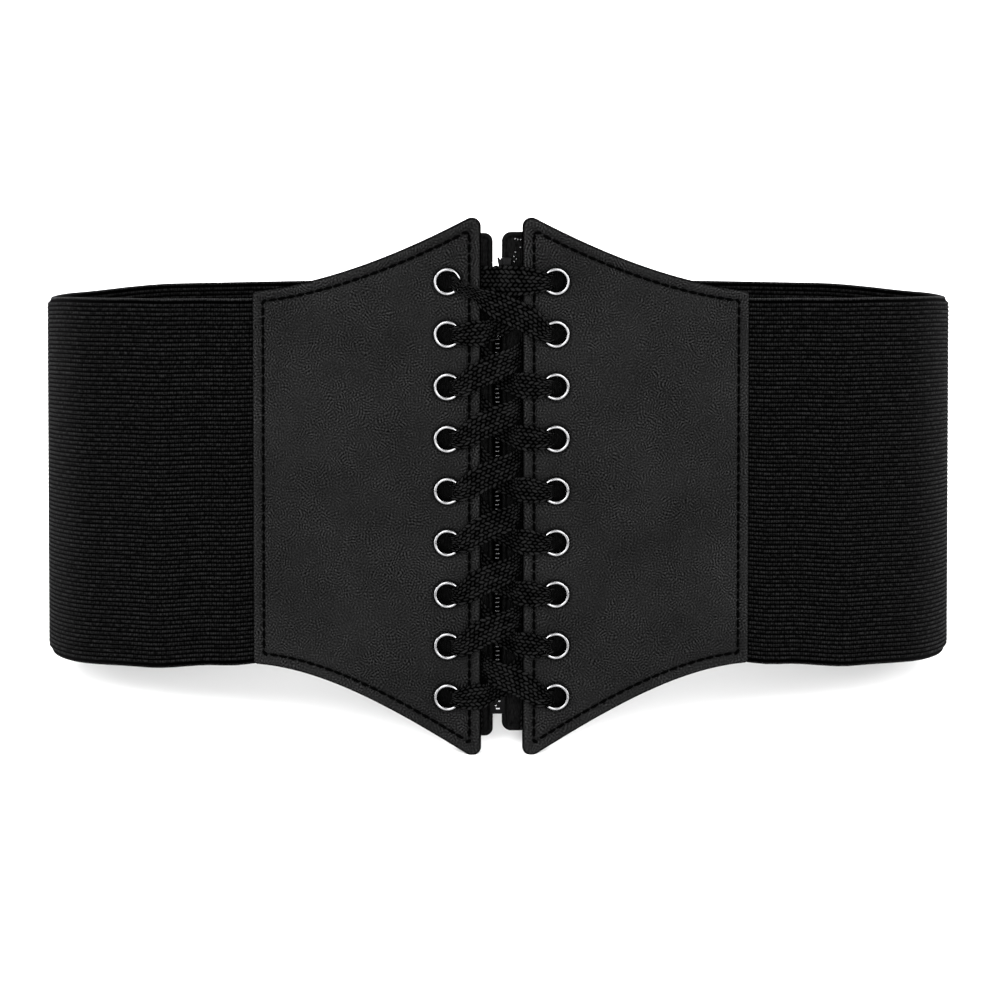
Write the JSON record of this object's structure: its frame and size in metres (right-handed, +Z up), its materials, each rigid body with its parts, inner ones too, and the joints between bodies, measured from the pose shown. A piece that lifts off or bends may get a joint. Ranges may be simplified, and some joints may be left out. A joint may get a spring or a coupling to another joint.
{
  "type": "corset belt",
  "caption": "Wide waist belt of two pointed leather panels laced together over a zip, closed round the back by a ribbed elastic band.",
  "frame": {"origin": "on the surface on which the belt stands, under the middle of its box", "axes": "+X across the front to the right as one looks at it, +Y towards the back, +Z up; the belt's own axis leans back from +Z by about 10 degrees"},
  "size_m": [0.3426, 0.1724, 0.1889],
  "materials": {
    "leather": "matt, fine wrinkled grain",
    "elastic": "matt, woven in fine level ribs",
    "braid": "soft sheen, flat braid",
    "tape": "woven tape with corded edge",
    "eyelet_metal": "polished nickel",
    "zip_metal": "black nickel"
  },
  "bodies": {
    "root": {"elastic_band": "elastic", "panel_left": "leather", "panel_right": "leather", "placket_left": "tape", "placket_right": "tape", "lace": "braid", "zip_chain": "zip_metal", "zip_slider": "zip_metal", "zip_box": "zip_metal", "eyelet_l1": "eyelet_metal", "eyelet_l2": "eyelet_metal", "eyelet_l3": "eyelet_metal", "eyelet_l4": "eyelet_metal", "eyelet_l5": "eyelet_metal", "eyelet_l6": "eyelet_metal", "eyelet_l7": "eyelet_metal", "eyelet_l8": "eyelet_metal", "eyelet_l9": "eyelet_metal", "eyelet_r1": "eyelet_metal", "eyelet_r2": "eyelet_metal", "eyelet_r3": "eyelet_metal", "eyelet_r4": "eyelet_metal", "eyelet_r5": "eyelet_metal", "eyelet_r6": "eyelet_metal", "eyelet_r7": "eyelet_metal", "eyelet_r8": "eyelet_metal", "eyelet_r9": "eyelet_metal"}
  },
  "joints": []
}
